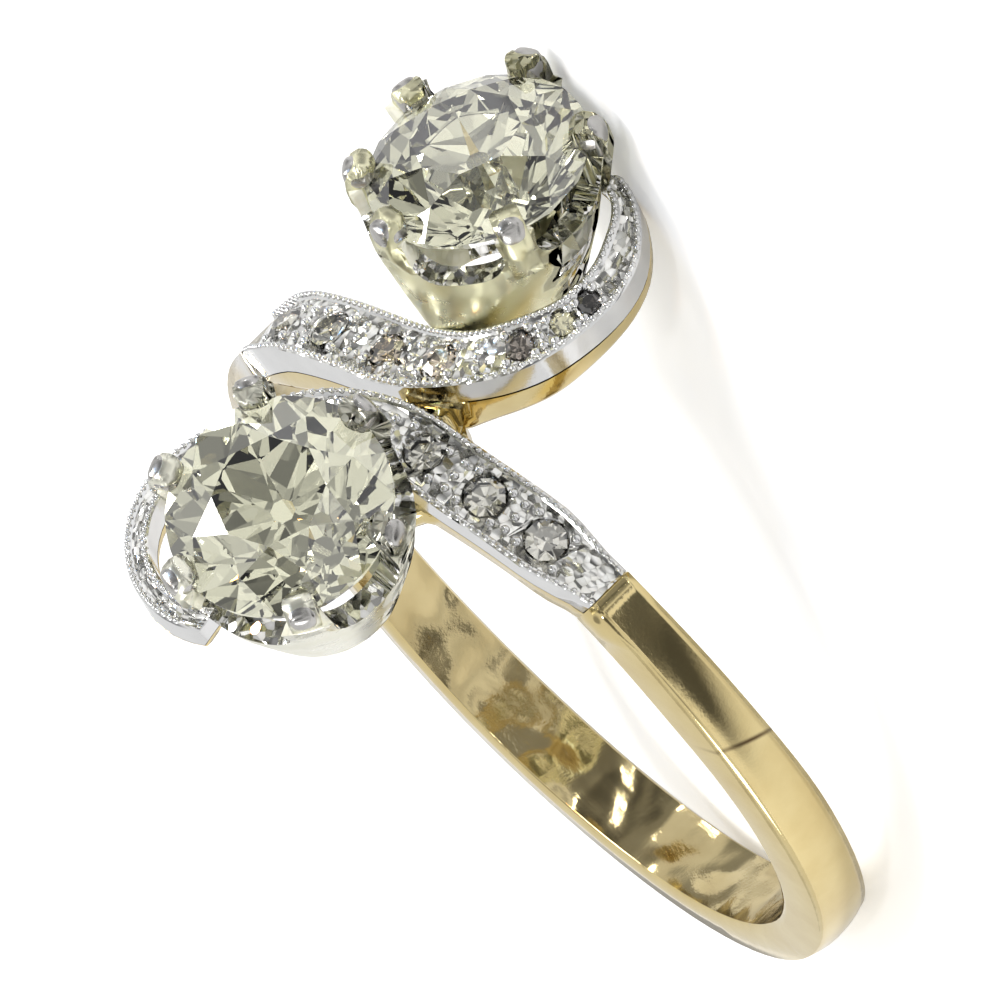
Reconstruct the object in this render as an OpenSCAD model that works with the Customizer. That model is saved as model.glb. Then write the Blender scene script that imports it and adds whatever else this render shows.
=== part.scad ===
// Toi et moi ring: two round old-cut stones in open claw collets, side by side
// between two shoulders that curl round them, on a slim rounded band.
// Lengths are in millimetres. The ring is drawn with its finger hole along Y and
// its stones towards +Z, then laid on its side the way it rests by itself.
// The far shoulder is the near one turned half round the head, and reaches further
// down the band.

/* [Finger hole and band] */
// Radius of the finger hole
finger_r = 8.5; // [8:0.1:9.2]
// Width of the band at its bottom, on the finger side
band_bottom_w = 1.95; // [1.7:0.05:2.3]
// Width of the band at its sides, on the finger side
band_side_w = 1.65; // [1.5:0.05:1.9]
// Width of the band where it meets the shoulders, on the finger side
band_joint_w = 1.5; // [1.3:0.05:1.7]
// Thickness of the band's edges at its bottom
band_bottom_t = 1.05; // [0.9:0.05:1.3]
// Thickness of the band's edges at its sides
band_side_t = 1.2; // [1.05:0.05:1.4]
// Rise of the band's rounded back over its edges, at its bottom
band_crown = 0.3; // [0.1:0.05:0.45]
// Rounding of the edges on the finger side
comfort_r = 0.2; // [0.1:0.05:0.3]
// Angle from the head at which the band meets the near shoulder
joint_angle = 35.5; // [33:0.5:39]
// Angle from the head at which the band meets the far shoulder, on the other side
far_joint_angle = 53; // [48:0.5:55]
// Sideways shift of the band where it meets the shoulders
joint_shift = 0.13; // [0:0.01:0.2]

/* [Shoulders] */
// Height of the shoulders over the finger hole
shoulder_t = 1.5; // [1.3:0.05:1.7]
// Drop of the far shoulder to the band
far_drop = 0.5; // [0.35:0.05:0.55]
// Width of the shoulders at their widest
shoulder_w = 1.76; // [1.5:0.02:1.9]
// Thickness of the white plates on top of the shoulders
plate_t = 0.75; // [0.65:0.05:0.9]
// Width of the raised rail along each edge of the plates
rail_w = 0.14; // [0.1:0.01:0.18]
// Height of the rails over the floor between them
rail_h = 0.09; // [0.04:0.01:0.14]
// Rise of the curls from the shoulders to their tips
curl_rise = 2.2; // [1.9:0.1:2.5]
// Slope of the curls' tops down and away from the stones, in degrees
curl_slope = 24; // [10:1:30]
// Space between the collets and the tails of the curls
curl_space = 0.28; // [0.2:0.02:0.4]
// Width of the curls where they run round the stones
curl_w = 0.86; // [0.78:0.02:1]
// Width of the curls at their tips
tip_w = 0.62; // [0.5:0.02:0.7]
// Depth of the curls at their tips
tip_t = 0.95; // [0.85:0.05:1.2]
// Angle round the stone at which the near curl ends
near_tip = 270; // [266:1:274]
// Angle round the stone at which the far curl ends
far_tip = 224; // [216:2:228]
// Angle over which the near curl narrows
near_taper = 95; // [85:1:105]
// Angle over which the far curl narrows
far_taper = 36; // [30:2:44]
// Angle over which the near tip hooks in to its collet
near_hook = 65; // [55:1:70]
// Angle over which the far tip hooks in to its collet
far_hook = 49; // [42:1:52]
// How far the near tip hooks in to its collet
near_hook_in = 1; // [0.9:0.02:1.1]
// How far the far tip hooks in to its collet
far_hook_in = 1.1; // [0.95:0.05:1.2]
// How far the gold under the shoulders reaches in under the collets
cradle_w = 0.75; // [0.5:0.05:1]
// How far each shoulder laps over the middle of the ring
shoulder_lap = 0.12; // [0.05:0.01:0.16]

/* [Main stones] */
// Diameter of the main stones
stone_d = 5.23; // [4.9:0.05:5.5]
// Height of their girdles over the finger hole
stone_rise = 4.74; // [4.5:0.05:5]
// Distance of their centres from the middle of the ring, along the band
stone_x = 1.48; // [1.2:0.05:1.7]
// Lean away from the middle along the band, in degrees
lean_along = 8.8; // [6:0.2:10]
// Lean away from the middle across the band, in degrees
lean_across = 6.1; // [4:0.2:8]
// Width of the table as a share of the diameter
table_share = 0.5; // [0.44:0.01:0.56]
// Height of the crown over the girdle
crown_h = 0.95; // [0.8:0.05:1.05]
// Depth of the pavilion under the girdle
pavilion_h = 2.25; // [2:0.05:2.4]
// Thickness of the girdle
girdle_t = 0.06; // [0.03:0.01:0.1]
// Width of the open culet as a share of the diameter
culet_share = 0.11; // [0.06:0.01:0.16]

/* [Collets] */
// Rim of the collets outside the girdle
collet_rim = 0.43; // [0.36:0.01:0.5]
// Height of the collets under the girdle
collet_h = 3.86; // [3.6:0.05:4.1]
// Wall of the collets at their base
collet_wall = 0.5; // [0.35:0.05:0.6]
// Width of the ledge that carries the stone
ledge_w = 0.3; // [0.2:0.02:0.45]
// Width of the posts left between the windows
post_w = 0.8; // [0.7:0.05:1.1]
// Depth of the windows under the girdle
window_h = 1.1; // [0.8:0.05:1.3]
// Rounding of the windows' lower corners
window_r = 0.6; // [0.3:0.05:0.75]
// Width of the claws
claw_w = 0.7; // [0.5:0.02:0.85]
// How far the claws stand out from the wall
claw_proud = 0.03; // [0.01:0.01:0.08]
// How far the claw tips reach in over the stones
claw_grip = 0.34; // [0.25:0.01:0.42]
// Height of the claw tips over the girdle
claw_h = 0.65; // [0.6:0.05:0.9]
// Shift of the collets outward along the band
wall_shift = 0.15; // [0:0.01:0.2]
// Lean of the lower collet's wall from its stone, in degrees
lower_wall_lean = -4; // [-8:1:0]
// Lean of the upper collet's wall from its stone, in degrees
upper_wall_lean = 10.5; // [6:0.5:12]

/* [Small stones] */
// Depth of the small stones' pavilions as a share of their diameter
small_pavilion = 0.42; // [0.36:0.01:0.45]
// Height of their crowns as a share of their diameter
small_crown = 0.13; // [0.08:0.01:0.18]
// Width of their tables as a share of their diameter
small_table = 0.6; // [0.5:0.01:0.7]
// Thickness of their girdles
small_girdle = 0.03; // [0.02:0.01:0.05]

/* [Fit] */
// Gap left between neighbouring pieces
seat_gap = 0.03; // [0.02:0.01:0.05]

/* [Hidden] */

// Main stones and collets
stone_r = stone_d / 2;
stone_corner_r = stone_r / cos(180 / 16);
table_r = stone_r * table_share;
culet_r = stone_r * culet_share;
crown_mid_r = stone_r * 0.76;
pavilion_mid_r = stone_r * 0.48;
collet_r = stone_r + collet_rim;
girdle_z = finger_r + stone_rise;

// Outer wall of the collets: share of collet_r, share of collet_h
wall_shares = [[1, 0.05], [0.92, -0.21], [0.845, -0.47], [0.735, -0.73], [0.615, -1]];

// Claws round each collet, in degrees, set by hand as on the ring
LOWER_CLAWS = [24, 90, 147, 204, 260, 327];
UPPER_CLAWS = [158, 227, 294, 354, 406, 453];

// Plan of one shoulder: a straight lead from the joint, then a curl round a stone
shoulder_r = finger_r + shoulder_t;
curl_r = collet_r + curl_space + curl_w / 2;
stone_y = curl_r + shoulder_w / 2 - shoulder_lap;
path_turn = 262;
joint_at = [shoulder_r * sin(joint_angle), -joint_shift];
curl_centre = [stone_x, -stone_y];
joint_reach = norm(curl_centre - joint_at);
lead_l = sqrt(joint_reach * joint_reach - curl_r * curl_r);
toward = atan2(curl_centre[1] - joint_at[1], curl_centre[0] - joint_at[0]);
heading = toward - asin(curl_r / joint_reach);
curl_start = heading + 270;
curl_l = curl_r * (path_turn - curl_start) * PI / 180;
path_l = lead_l + curl_l;
far_start = ((shoulder_r - far_drop) * sin(far_joint_angle) - joint_at[0]) / (path_l * cos(heading));
tip_clear = shoulder_t + curl_rise - tip_t;

// Shoulder stations: share of the path; share of curl_rise; share of shoulder_w,
// with curl_w for the rest; share of curl_slope; share of tip_clear, the free
// height under the tip
STATIONS = [
  [0, 0, 1, 0, 0],
  [0.22, 0, 1, 0, 0],
  [0.275, 0.03, 1, 0, 0],
  [0.33, 0.21, 0.93, 0, 0],
  [0.38, 0.37, 0.72, 0, 0.03],
  [0.42, 0.46, 0.6, 0, 0.24],
  [0.465, 0.56, 0.48, 0.35, 0.38],
  [0.525, 0.65, 0.26, 0.8, 0.48],
  [0.57, 0.7, 0.03, 1, 0.57],
  [0.62, 0.77, 0, 1, 0.67],
  [0.675, 0.86, 0, 1, 0.77],
  [0.72, 0.94, 0, 1, 0.84],
  [0.77, 0.97, 0, 1, 0.91],
  [1, 1, 0, 1, 1]];

// Small stones: share of the path, share of the shoulder's width there
NEAR_PLACES = [[0.1, 0.58], [0.204, 0.57], [0.309, 0.52], [0.41, 0.52], [0.513, 0.56], [0.59, 0.6]];
FAR_PLACES = [[0.005, 0.56], [0.12, 0.57], [0.247, 0.5], [0.366, 0.55], [0.5, 0.58],
  [0.57, 0.62], [0.618, 0.62]];

// Band: crease width at the joint, sides and bottom, as shares of the width there
crease_joint = 0.79;
crease_side = 0.88;
crease_bottom = 0.95;
joint_step = 0.04;
bore_spare = 0.25;

// Ends of the band and shoulders, lifted off the bore where they lap
end_lift = bore_spare + 0.05;
end_lap = 0.03;
drop_from = 0.06;

// Rows of a shoulder's section: few over its straight start, closer after it
straight_to = 0.13;
straight_step = 0.024;
path_rows = 47;

// Extra gap under the plates where they twist
twist_gap = 0.03;
end_turn = end_lap * path_l / shoulder_r * 180 / PI;

// Angles at which the ring at rest touches the table: round the upper collet, and
// on the band from the head
rest_rim = 280;
rest_edge = 146;
rim_touch = from_upper_stone(
  tip([collet_r * cos(rest_rim), collet_r * sin(rest_rim), wall_shares[0][1] * collet_h],
    upper_wall_lean) + [wall_shift, 0, 0]);
edge_run = edge_at(rest_edge + 1) - edge_at(rest_edge - 1);
down = unit(cross(edge_run, rim_touch - edge_at(rest_edge)));
ahead = unit([0, 0, 1] - down[2] * down);
across = cross(down, ahead);
reach = from_upper_stone([0, -table_r, crown_h + girdle_t / 2]) * ahead;
middle = (reach - (finger_r + band_bottom_t + band_crown) * ahead[2]) / 2;

gold = [0.86, 0.68, 0.3];
white_metal = [0.84, 0.84, 0.85];
clear_stone = [0.9, 0.92, 0.92];

function ease(t) = t <= 0 ? 0 : t >= 1 ? 1 : t * t * (3 - 2 * t);
function mix(a, b, share) = a + (b - a) * share;
function column(c) = [for (row = STATIONS) [row[0], row[c]]];
function smooth(t, c, d = 0.014) =
  (lookup(t - 2 * d, column(c)) + 2 * lookup(t - d, column(c)) + 2 * lookup(t, column(c))
  + 2 * lookup(t + d, column(c)) + lookup(t + 2 * d, column(c))) / 8;

// Direction from the curl's centre, middle line, inward side and upward side at t
function turn_at(t) = curl_start + max(0, t * path_l - lead_l) / curl_r * 180 / PI;
function hook_at(t) = $hook_in * pow(max(0, turn_at(t) - $tip + $hook) / $hook, 2);
function flat_at(t) =
  t < 0
  ? joint_at + t * path_l * [cos(heading), 0]
  : t * path_l < lead_l
  ? joint_at + t * path_l * [cos(heading), sin(heading)]
  : curl_centre + (curl_r - hook_at(t)) * [cos(turn_at(t)), sin(turn_at(t))];
function drop_at(t) = $drop * ease((drop_from - t) / (drop_from - $start));
function lean_at(t) = asin(max(0, flat_at(t)[0]) / (shoulder_r - drop_at(t)));
function top_at(t) =
  let (p = flat_at(t))
  [p[0], p[1], (shoulder_r - drop_at(t)) * cos(lean_at(t)) + curl_rise * smooth(t, 1)];
function inward_at(t) = [-cos(turn_at(t)), -sin(turn_at(t)), 0];
function upward_at(t) = [sin(lean_at(t)), 0, cos(lean_at(t))];
function slope_at(t) = tan(curl_slope * smooth(t, 3));
function section_point(t, w, h) =
  top_at(t) + w * inward_at(t) + (h + w * slope_at(t)) * upward_at(t);

// Half widths of the shoulder on top, at its foot and under the plate
function full_half(t) =
  (mix(curl_w, shoulder_w, smooth(t, 2))
  - (curl_w - tip_w) * ease((turn_at(t) - $tip + $taper) / (0.6 * $taper))) / 2;
function top_half(t) = mix(crease_w($joint) / 2, full_half(t), ease((t - $start) / 0.11));
function foot_half(t) = mix(band_w($joint) / 2 - seat_gap, full_half(t), ease((t - $start) / 0.07));
function seam_half(t) = mix(top_half(t), foot_half(t), plate_t / shoulder_t);
function depth_at(t) =
  shoulder_t - drop_at(t) + curl_rise * smooth(t, 1) - tip_clear * smooth(t, 4);

// Outlines across the shoulder, as side and height from the middle of its top
function under_outline(t) =
  let (f = foot_half(t), s = seam_half(t), d = depth_at(t), r = min(comfort_r, f / 2),
    low = -d - bore_spare * (1 - ease((t - 0.32) / 0.1)) + end_lift * ease(($start - t) / end_lap),
    seam = -plate_t - seat_gap - twist_gap * (ease((t - 0.24) / 0.06) - ease((t - 0.58) / 0.06)),
    g = f + cradle_w * (ease((t - 0.27) / 0.06) - ease((t - 0.4) / 0.06)))
  [[1.2 * r - f, low], [g - 1.2 * r, low], [g - 0.35 * r, 0.35 * r - d], [g, 1.2 * r - d],
  [s, seam], [-s, seam], [-f, 1.2 * r - d], [0.35 * r - f, 0.35 * r - d]];
function plate_outline(t) =
  let (w = top_half(t), s = seam_half(t), r = min(rail_w, 0.55 * w), b = rail_h / 2)
  [[-s, -plate_t], [s, -plate_t], [w, -b], [w - b, 0], [w - r, 0], [w - r - b, -rail_h],
  [r + b - w, -rail_h], [r - w, 0], [b - w, 0], [-w, -b]];

// Band at angle a from the head
function side_of(a) = a > 180 ? 1 : -1;
function from_head(a) = a > 180 ? 360 - a : a;
function joint_of(a) = a > 180 ? far_joint_angle : joint_angle;
function joint_t(a) = shoulder_t - joint_step - (a > 180 ? far_drop : 0);
function band_w(a) =
  band_joint_w + (band_side_w - band_joint_w) * ease((a - joint_angle) / 25)
  + (band_bottom_w - band_side_w) * ease((a - 95) / 70);
function crease_w(a) =
  band_w(a) * (crease_joint + (crease_side - crease_joint) * ease((a - 55) / 25)
  + (crease_bottom - crease_side) * ease((a - 90) / 60));
function band_t(a) =
  joint_t(a) + (band_side_t - joint_t(a)) * ease((from_head(a) - joint_of(a)) / 35)
  + (band_bottom_t - band_side_t) * ease((from_head(a) - 95) / 70);
function crown_t(a) =
  band_crown * (0.27 * ease((from_head(a) - joint_of(a)) / 30) + 0.73 * ease((from_head(a) - 95) / 70));
function band_outline(a) =
  let (f = band_w(from_head(a)) / 2, c = crease_w(from_head(a)) / 2, t = band_t(a), r = comfort_r,
    low = end_lift * (1 - ease((from_head(a) - joint_of(a)) / end_turn)) - bore_spare)
  [[1.2 * r - f, low], [f - 1.2 * r, low], [f - 0.35 * r, 0.35 * r], [f, 1.2 * r],
  for (k = [1, 0.7, 0.35, 0, -0.35, -0.7, -1]) [k * c, t + crown_t(a) * (1 - k * k)],
  [-f, 1.2 * r], [0.35 * r - f, 0.35 * r]];
function band_point(a, p) =
  [(finger_r + p[1]) * sin(a),
  p[0] + side_of(a) * joint_shift * (1 - ease((from_head(a) - joint_of(a)) / 50)),
  (finger_r + p[1]) * cos(a)];
function edge_at(a) = band_point(a, [crease_w(a) / 2, band_t(a)]);

// Points turned about X and Y, and from the upper stone's own place to the ring's
function unit(v) = v / norm(v);
function tip(p, a) = [p[0], p[1] * cos(a) - p[2] * sin(a), p[1] * sin(a) + p[2] * cos(a)];
function lean(p, a) = [p[0] * cos(a) + p[2] * sin(a), p[1], p[2] * cos(a) - p[0] * sin(a)];
function from_upper_stone(p) =
  let (q = lean(tip(p, lean_across), lean_along) + [stone_x, -stone_y, girdle_z])
  [-q[0], -q[1], q[2]];

// Solid through a row of closed outlines of equal length
module loft(rows) {
  n = len(rows[0]);
  last = (len(rows) - 1) * n;
  polyhedron(
    points = [for (row = rows, p = row) p],
    faces = [
      [for (j = [0:n - 1]) j],
      [for (j = [n - 1:-1:0]) last + j],
      for (i = [0:len(rows) - 2], j = [0:n - 1]) [i * n + j, (i + 1) * n + j, i * n + (j + 1) % n],
      for (i = [0:len(rows) - 2], j = [0:n - 1])
        [i * n + (j + 1) % n, (i + 1) * n + j, (i + 1) * n + (j + 1) % n]]);
}

// Sizes in which the two shoulders differ
module near_side() {
  $tip = near_tip;
  $taper = near_taper;
  $hook = near_hook;
  $hook_in = near_hook_in;
  $joint = joint_angle;
  $start = 0;
  $drop = 0;
  children();
}

module far_side() {
  $tip = far_tip;
  $taper = far_taper;
  $hook = far_hook;
  $hook_in = far_hook_in;
  $joint = far_joint_angle;
  $start = far_start;
  $drop = far_drop;
  children();
}

// Station shares along one shoulder, from just inside the band to its tip
function path_steps(lap) =
  let (last = (lead_l + curl_r * ($tip - curl_start) * PI / 180) / path_l,
    n = round((straight_to - $start) / straight_step))
  [$start - lap, for (k = [0:n - 1]) mix($start, straight_to, k / n),
    for (k = [0:path_rows]) mix(straight_to, last, k / path_rows)];

module under() {
  loft([for (t = path_steps(end_lap)) [for (p = under_outline(t)) section_point(t, p[0], p[1])]]);
}

module band_ring() {
  steps = 68;
  last = 360 - far_joint_angle;
  turns = [joint_angle, joint_angle + end_turn,
    for (i = [1:steps - 1]) mix(joint_angle, last, i / steps), last - end_turn, last];
  loft([for (a = turns) [for (p = band_outline(a)) band_point(a, p)]]);
}

// Gold between the two shoulders in the middle of the head
module saddle() {
  low_edge = [for (t = [0.27:0.02:0.41]) section_point(t, 0.15 - top_half(t), 0)];
  high_edge = [for (t = [0.315:0.015:0.4]) section_point(t, -3 * seat_gap - top_half(t), 0)];
  low_plan = [for (p = low_edge) [p[0], p[1]]];
  high_plan = [for (p = high_edge) [p[0], p[1]]];
  translate([0, 0, finger_r - bore_spare])
    linear_extrude(shoulder_t - plate_t + bore_spare - 3 * seat_gap) polygon(concat(low_plan, -low_plan));
  translate([0, 0, finger_r])
    linear_extrude(shoulder_t - 0.1) polygon(concat(high_plan, -high_plan));
}

module at_lower_stone() {
  translate([stone_x, -stone_y, girdle_z]) rotate([lean_across, lean_along, 0]) children();
}

module at_upper_stone() {
  rotate([0, 0, 180]) at_lower_stone() children();
}

// Room that each collet takes in the metal round it
module collet_room() {
  rotate_extrude($fn = 96) polygon([
    [0, wall_shares[4][1] * collet_h - seat_gap],
    for (k = [4:-1:0]) [wall_shares[k][0] * collet_r + seat_gap,
      wall_shares[k][1] * collet_h - (k == 4 ? seat_gap : 0)],
    [wall_shares[0][0] * collet_r + seat_gap, 2 * collet_h],
    [0, 2 * collet_h]]);
}

// Place of a collet's wall, shifted and leaned against its stone
module wall_place(lean) {
  translate([wall_shift, 0, 0]) rotate([lean, 0, 0]) children();
}

module both_collet_rooms() {
  at_lower_stone() wall_place(lower_wall_lean) collet_room();
  at_upper_stone() wall_place(upper_wall_lean) collet_room();
}

module shank_solid() {
  color(gold) difference() {
    union() {
      band_ring();
      near_side() under();
      rotate([0, 0, 180]) far_side() under();
      near_side() saddle();
    }
    rotate([90, 0, 0]) cylinder(h = 6 * band_bottom_w, r = finger_r, center = true, $fn = 180);
    both_collet_rooms();
  }
}

// Place on the shoulder with Z along the upward side
module on_shoulder(t) {
  p = section_point(t, 0, -rail_h);
  u = upward_at(t) - slope_at(t) * inward_at(t);
  translate(p) rotate([0, acos(u[2] / norm(u)), atan2(u[1], u[0])]) children();
}

function small_r(place) = place[1] * top_half(place[0]);

module small_seat(r) {
  rotate_extrude($fn = 48) polygon([
    [0, -2 * r * small_pavilion - small_girdle - seat_gap],
    [r + seat_gap, -small_girdle],
    [r + seat_gap, r],
    [0, r]]);
}

module plate(places, lean, claw_turn) {
  color(white_metal) difference() {
    loft([for (t = path_steps(0.02)) [for (p = plate_outline(t)) section_point(t, p[0], p[1])]]);
    rotate([0, $joint, 0]) translate([-seat_gap, -shoulder_r, 0])
      cube([2 * shoulder_r, 2 * shoulder_r, 2 * shoulder_r]);
    for (place = places) on_shoulder(place[0]) small_seat(small_r(place));
    at_lower_stone() wall_place(lean) collet_room();
    at_lower_stone() claws([claw_turn], seat_gap);
  }
}

// Room of a main stone, with the gap round it
module stone_pocket() {
  rotate_extrude($fn = 96) intersection() {
    polygon([
      [0, -pavilion_h - girdle_t - seat_gap],
      [culet_r, -pavilion_h - girdle_t - seat_gap],
      [pavilion_mid_r, -girdle_t - seat_gap - pavilion_h
        * (stone_corner_r - pavilion_mid_r * cos(22.5)) / (stone_corner_r - culet_r)],
      [stone_corner_r, -girdle_t - seat_gap],
      [stone_corner_r, girdle_t + seat_gap],
      [crown_mid_r, girdle_t + seat_gap + crown_h
        * (stone_corner_r - crown_mid_r * cos(22.5)) / (stone_corner_r - table_r)],
      [table_r, crown_h + girdle_t + seat_gap],
      [0, crown_h + girdle_t + seat_gap]]);
    translate([0, -2 * pavilion_h]) square([stone_r + seat_gap, 4 * pavilion_h]);
  }
}

// Cutter for the opening between two claws, with rounded lower corners
module window(spread) {
  w = 2 * stone_r * sin(spread / 2) - post_w + collet_rim / 2;
  rotate([90, 0, 90]) linear_extrude(2 * collet_r) polygon([
    [w / 2, window_h + claw_h],
    [-w / 2, window_h + claw_h],
    for (a = [180:15:270])
      [window_r * (1 + cos(a)) - w / 2, window_r * (1 + sin(a)) - window_h],
    for (a = [270:15:360])
      [w / 2 - window_r * (1 - cos(a)), window_r * (1 + sin(a)) - window_h]]);
}

module claws(turns, spare = 0) {
  tip_r = stone_r - claw_grip;
  out_r = collet_r + claw_proud + spare;
  side = claw_w / 2 + spare;
  intersection() {
    rotate_extrude($fn = 96) polygon([
      [stone_r - claw_proud - 2 * spare, -window_h],
      [mix(wall_shares[1][0], wall_shares[2][0], 0.5) * collet_r + spare, 1.2 * -window_h - spare],
      [out_r, -0.5 * claw_h],
      [out_r, 0.1 * claw_h],
      [mix(out_r, tip_r, 0.07), 0.5 * claw_h],
      [mix(out_r, tip_r, 0.24), 0.83 * claw_h],
      [mix(out_r, tip_r, 0.5), claw_h],
      [mix(out_r, tip_r, 0.78), 0.98 * claw_h],
      [mix(out_r, tip_r, 0.95), 0.88 * claw_h],
      [tip_r, 0.74 * claw_h],
      [tip_r, 0]]);
    translate([0, 0, -collet_h]) linear_extrude(2 * collet_h) for (turn = turns)
      rotate(turn) polygon([
        for (a = [90:15:270]) [tip_r + side * (1 + cos(a)), side * sin(a)],
        [2 * collet_r, -side],
        [2 * collet_r, side]]);
  }
}

module collet(turns, lean) {
  bore_r = stone_r - ledge_w;
  color(white_metal) difference() {
    union() {
      difference() {
        wall_place(lean) rotate_extrude($fn = 96) polygon([
          for (k = [4:-1:0]) [wall_shares[k][0] * collet_r, wall_shares[k][1] * collet_h],
          [bore_r, wall_shares[0][1] * collet_h],
          [bore_r, -window_h / 2],
          [wall_shares[4][0] * collet_r - collet_wall, -collet_h]]);
        for (k = [0:len(turns) - 1])
          let (next = turns[(k + 1) % len(turns)] + (k + 1 < len(turns) ? 0 : 360))
          rotate((turns[k] + next) / 2) window(next - turns[k]);
        translate([-2 * collet_r, -2 * collet_r, girdle_t])
          cube([4 * collet_r, 4 * collet_r, collet_h]);
      }
      claws(turns);
    }
    stone_pocket();
  }
}

// Round old-cut stone: table, stars, kites and halves over a faceted pavilion
module brilliant() {
  crown_mid_z = girdle_t / 2
    + crown_h * (stone_corner_r - crown_mid_r * cos(22.5)) / (stone_corner_r - table_r);
  pavilion_mid_z = -girdle_t / 2
    - pavilion_h * (stone_corner_r - pavilion_mid_r * cos(22.5)) / (stone_corner_r - culet_r);
  intersection() {
    polyhedron(
      points = [
        for (k = [0:7]) [table_r * cos(45 * k), table_r * sin(45 * k), crown_h + girdle_t / 2],
        for (k = [0:7]) [crown_mid_r * cos(45 * k + 22.5), crown_mid_r * sin(45 * k + 22.5), crown_mid_z],
        for (k = [0:15]) [stone_corner_r * cos(22.5 * k), stone_corner_r * sin(22.5 * k), girdle_t / 2],
        for (k = [0:15]) [stone_corner_r * cos(22.5 * k), stone_corner_r * sin(22.5 * k), -girdle_t / 2],
        for (k = [0:7])
          [pavilion_mid_r * cos(45 * k + 22.5), pavilion_mid_r * sin(45 * k + 22.5), pavilion_mid_z],
        for (k = [0:7]) [culet_r * cos(45 * k), culet_r * sin(45 * k), -pavilion_h - girdle_t / 2]],
      faces = [
        [for (k = [7:-1:0]) k],
        for (k = [0:7]) [k, (k + 1) % 8, 8 + k],
        for (k = [0:7]) [k, 8 + k, 16 + 2 * k, 8 + (k + 7) % 8],
        for (k = [0:7]) [8 + k, 17 + 2 * k, 16 + 2 * k],
        for (k = [0:7]) [8 + k, 16 + (2 * k + 2) % 16, 17 + 2 * k],
        for (k = [0:15]) [16 + k, 16 + (k + 1) % 16, 32 + (k + 1) % 16, 32 + k],
        for (k = [0:7]) [32 + 2 * k, 33 + 2 * k, 48 + k],
        for (k = [0:7]) [33 + 2 * k, 32 + (2 * k + 2) % 16, 48 + k],
        for (k = [0:7]) [32 + 2 * k, 48 + k, 56 + k, 48 + (k + 7) % 8],
        for (k = [0:7]) [56 + k, 48 + k, 56 + (k + 1) % 8],
        [for (k = [0:7]) 56 + k]]);
    cylinder(h = 4 * pavilion_h, r = stone_r, center = true, $fn = 96);
  }
}

module small_stone(place) {
  r = small_r(place);
  on_shoulder(place[0]) rotate(22.5) polyhedron(
    points = [
      for (k = [0:7]) [r * small_table * cos(45 * k), r * small_table * sin(45 * k), 2 * r * small_crown],
      for (k = [0:7]) [r * cos(45 * k), r * sin(45 * k), 0],
      for (k = [0:7]) [r * cos(45 * k), r * sin(45 * k), -small_girdle],
      [0, 0, -2 * r * small_pavilion - small_girdle]],
    faces = [
      [for (k = [7:-1:0]) k],
      for (k = [0:7]) [k, (k + 1) % 8, 8 + (k + 1) % 8, 8 + k],
      for (k = [0:7]) [8 + k, 8 + (k + 1) % 8, 16 + (k + 1) % 8, 16 + k],
      for (k = [0:7]) [16 + k, 16 + (k + 1) % 8, 24]]);
}

// The ring at rest on its side: it lies on the rim of the upper collet and along
// the edge of the band, and its head points along Y
module at_rest() {
  multmatrix([
    [across[0], across[1], across[2], 0],
    [ahead[0], ahead[1], ahead[2], -middle],
    [-down[0], -down[1], -down[2], rim_touch * down]])
    children();
}

module shank() at_rest() shank_solid();
module near_plate() at_rest() near_side() plate(NEAR_PLACES, lower_wall_lean, LOWER_CLAWS[4]);
module far_plate()
  at_rest() rotate([0, 0, 180]) far_side() plate(FAR_PLACES, upper_wall_lean, UPPER_CLAWS[1]);
module lower_collet() at_rest() at_lower_stone() collet(LOWER_CLAWS, lower_wall_lean);
module upper_collet() at_rest() at_upper_stone() collet(UPPER_CLAWS, upper_wall_lean);
module lower_diamond() color(clear_stone) at_rest() at_lower_stone() brilliant();
module upper_diamond() color(clear_stone) at_rest() at_upper_stone() brilliant();
module near_stone(k) color(clear_stone) at_rest() near_side() small_stone(NEAR_PLACES[k - 1]);
module far_stone(k)
  color(clear_stone) at_rest() rotate([0, 0, 180]) far_side() small_stone(FAR_PLACES[k - 1]);

shank();
near_plate();
far_plate();
lower_collet();
upper_collet();
lower_diamond();
upper_diamond();
near_stone(1);  // near_stone_1
near_stone(2);  // near_stone_2
near_stone(3);  // near_stone_3
near_stone(4);  // near_stone_4
near_stone(5);  // near_stone_5
near_stone(6);  // near_stone_6
far_stone(1);  // far_stone_1
far_stone(2);  // far_stone_2
far_stone(3);  // far_stone_3
far_stone(4);  // far_stone_4
far_stone(5);  // far_stone_5
far_stone(6);  // far_stone_6
far_stone(7);  // far_stone_7
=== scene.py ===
import bpy
from math import asin, atan2, cos, degrees, pi, radians, sin, sqrt, tan
from mathutils import Matrix, Vector


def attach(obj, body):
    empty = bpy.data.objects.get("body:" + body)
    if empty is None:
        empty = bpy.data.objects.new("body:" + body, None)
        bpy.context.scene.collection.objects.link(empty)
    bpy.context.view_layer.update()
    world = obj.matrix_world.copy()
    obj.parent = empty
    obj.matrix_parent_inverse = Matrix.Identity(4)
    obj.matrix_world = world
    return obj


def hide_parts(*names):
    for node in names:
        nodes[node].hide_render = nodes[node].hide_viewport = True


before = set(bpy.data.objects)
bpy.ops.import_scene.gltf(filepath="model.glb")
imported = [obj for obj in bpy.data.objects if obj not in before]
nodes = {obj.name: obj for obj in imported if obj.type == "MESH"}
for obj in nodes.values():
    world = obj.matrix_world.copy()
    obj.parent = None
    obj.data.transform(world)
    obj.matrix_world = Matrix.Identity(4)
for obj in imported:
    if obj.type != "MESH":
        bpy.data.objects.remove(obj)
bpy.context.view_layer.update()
mm = 0.001
print("frame loaded:", len(nodes), "nodes")

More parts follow.
